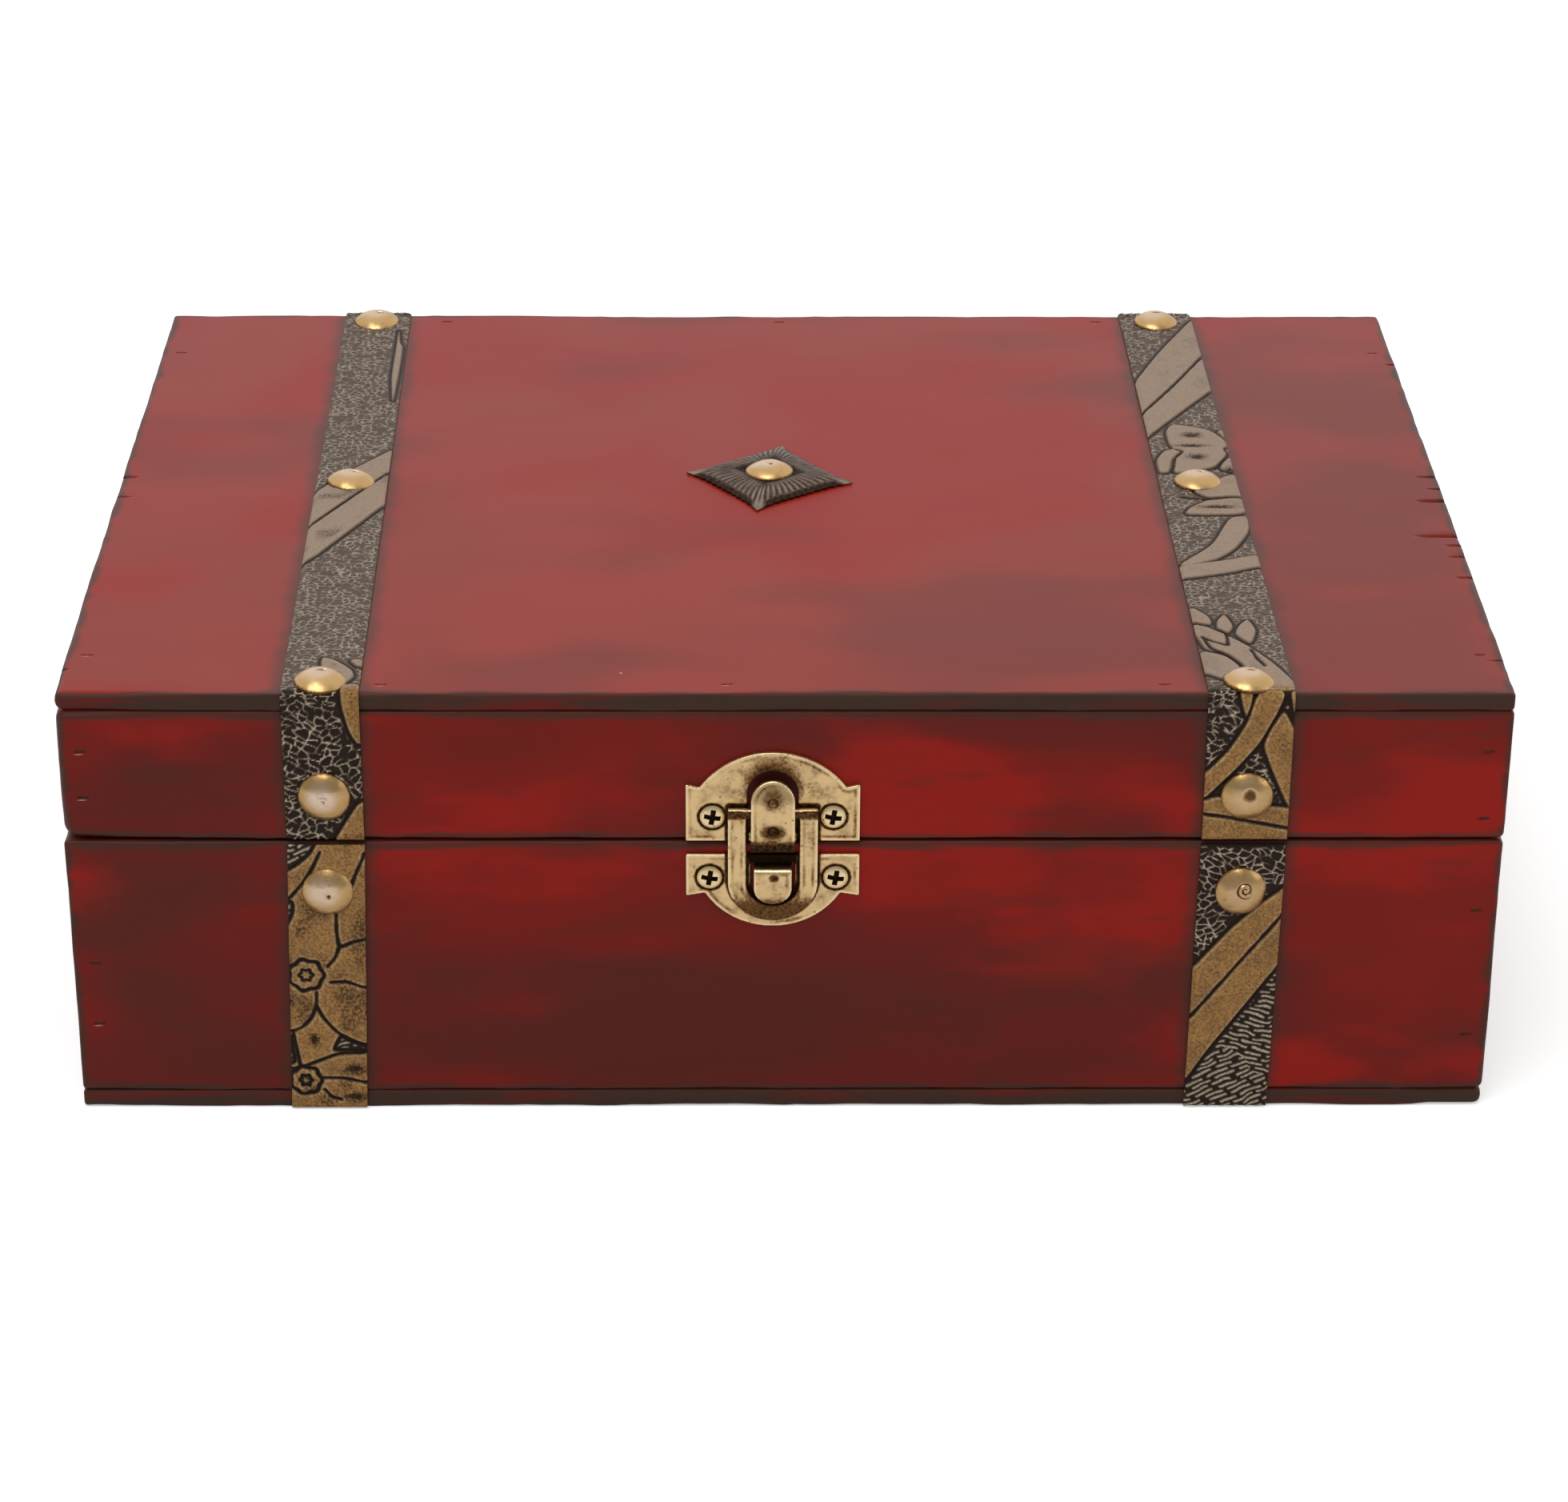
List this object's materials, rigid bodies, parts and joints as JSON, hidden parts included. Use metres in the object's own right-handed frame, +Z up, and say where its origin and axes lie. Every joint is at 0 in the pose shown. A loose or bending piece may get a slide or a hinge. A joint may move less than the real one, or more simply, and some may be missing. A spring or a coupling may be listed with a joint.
{
  "type": "wooden keepsake chest",
  "caption": "Small hinged wooden chest, red-stained and distressed, with embossed straps over the lid, domed tacks, a diamond ornament and a ring hasp latch.",
  "frame": {"origin": "middle of the underside of the chest, where it stands", "axes": "+Z up, +X to the chest's left-to-right as seen from the front, the front with the latch faces -Y"},
  "size_m": [0.22, 0.1668, 0.0752],
  "materials": {
    "stained_wood": "satin red stain rubbed with dark brown, worn at the edges",
    "embossed_strap": "embossed imitation leather, dark ground with rubbed antique gold",
    "domed_tack": "aged brass plating, pressed dome",
    "diamond_metal": "antique bronze, fluted and darkened",
    "latch_brass": "antique brass plating with brown patina",
    "latch_screw": "aged brass with dark recess",
    "hinge_brass": "aged brass plating",
    "steel_brad": "dull steel wire"
  },
  "bodies": {
    "base": {"base_back_board": "stained_wood", "base_back_strap_left": "embossed_strap", "base_back_strap_right": "embossed_strap", "base_back_tacks": "domed_tack", "base_corner_brads": "steel_brad", "base_front_board": "stained_wood", "base_front_strap_left": "embossed_strap", "base_front_strap_right": "embossed_strap", "base_front_tacks": "domed_tack", "base_left_board": "stained_wood", "base_right_board": "stained_wood", "bottom_panel": "stained_wood", "bottom_panel_brads": "steel_brad", "hinge_base_leaf_left": "hinge_brass", "hinge_base_leaf_right": "hinge_brass", "hinge_base_screws": "hinge_brass", "hinge_pin_left": "hinge_brass", "hinge_pin_right": "hinge_brass", "latch_base_plate": "latch_brass", "latch_base_screws": "latch_screw"},
    "lid": {"diamond_plate": "diamond_metal", "diamond_tack": "domed_tack", "hinge_lid_leaf_left": "hinge_brass", "hinge_lid_leaf_right": "hinge_brass", "hinge_lid_screws": "hinge_brass", "latch_lid_plate": "latch_brass", "latch_lid_screws": "latch_screw", "lid_back_board": "stained_wood", "lid_back_tacks": "domed_tack", "lid_corner_brads": "steel_brad", "lid_front_board": "stained_wood", "lid_front_tacks": "domed_tack", "lid_left_board": "stained_wood", "lid_right_board": "stained_wood", "lid_strap_left": "embossed_strap", "lid_strap_right": "embossed_strap", "lid_top_tacks": "domed_tack", "top_panel": "stained_wood", "top_panel_brads": "steel_brad"},
    "hasp": {"hasp": "latch_brass"}
  },
  "joints": [
    {"name": "lid_hinge", "type": "hinge", "parent": "base", "child": "lid", "pos_m": [0, 0.0818, 0.0472], "axis": [-1, 0, 0], "range_deg": [0, 165]},
    {"name": "hasp_swing", "type": "hinge", "parent": "lid", "child": "hasp", "pos_m": [-0.0019, -0.08185, 0.0528], "axis": [-1, 0, 0], "range_deg": [0, 170]}
  ]
}
